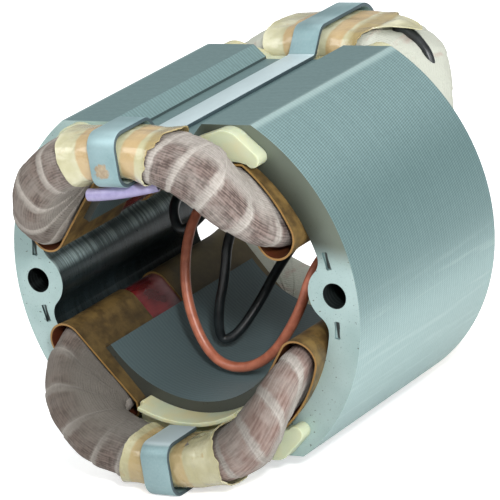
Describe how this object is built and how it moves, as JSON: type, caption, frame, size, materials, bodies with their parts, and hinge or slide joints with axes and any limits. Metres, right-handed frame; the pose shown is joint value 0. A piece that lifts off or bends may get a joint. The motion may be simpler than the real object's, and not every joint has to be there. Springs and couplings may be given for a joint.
{
  "type": "wound stator",
  "caption": "Round laminated steel stator with two wound poles, taped saddle coils held by flat straps, and loose leads across its bore.",
  "frame": {"origin": "middle of the stack on the bore's axis, which is also the middle of the two bolt holes", "axes": "+Y along the bore's axis towards the lead end, +Z through the middle of the upper pole, +X towards the right bolt hole seen from the front"},
  "size_m": [0.09, 0.1066, 0.0828],
  "materials": {
    "lamination_steel": "bare electrical sheet, cut edges visible",
    "enamelled_copper": "enamelled winding wire",
    "glass_gauze_tape": "half-lapped woven tape",
    "polyester_film": "clear film, yellowed by varnish",
    "strap_steel": "cold-rolled strip",
    "insulating_paper": "varnished pressboard",
    "red_film": "glossy",
    "natural_nylon": "translucent",
    "orange_insulation": "satin silicone",
    "black_insulation": "satin silicone",
    "lavender_sleeving": "soft sleeving"
  },
  "bodies": {
    "root": {"lamination_stack": "lamination_steel", "top_coil": "enamelled_copper", "top_front_tape": "glass_gauze_tape", "top_front_sheath": "polyester_film", "top_front_insulator": "natural_nylon", "top_back_tape": "glass_gauze_tape", "top_back_sheath": "polyester_film", "top_back_insulator": "natural_nylon", "top_strap": "strap_steel", "bottom_coil": "enamelled_copper", "bottom_front_tape": "glass_gauze_tape", "bottom_front_sheath": "polyester_film", "bottom_front_insulator": "natural_nylon", "bottom_back_tape": "glass_gauze_tape", "bottom_back_sheath": "polyester_film", "bottom_back_insulator": "natural_nylon", "bottom_strap": "strap_steel", "upper_left_slot_liner": "red_film", "upper_left_front_cuff": "insulating_paper", "upper_left_back_cuff": "insulating_paper", "upper_right_slot_liner": "red_film", "upper_right_front_cuff": "insulating_paper", "upper_right_back_cuff": "insulating_paper", "lower_left_slot_liner": "red_film", "lower_left_front_cuff": "insulating_paper", "lower_left_back_cuff": "insulating_paper", "lower_right_slot_liner": "red_film", "lower_right_front_cuff": "insulating_paper", "lower_right_back_cuff": "insulating_paper", "orange_lead": "orange_insulation", "long_black_lead": "black_insulation", "short_black_lead": "black_insulation", "back_black_lead": "black_insulation", "splice_sleeve": "lavender_sleeving"}
  },
  "joints": []
}
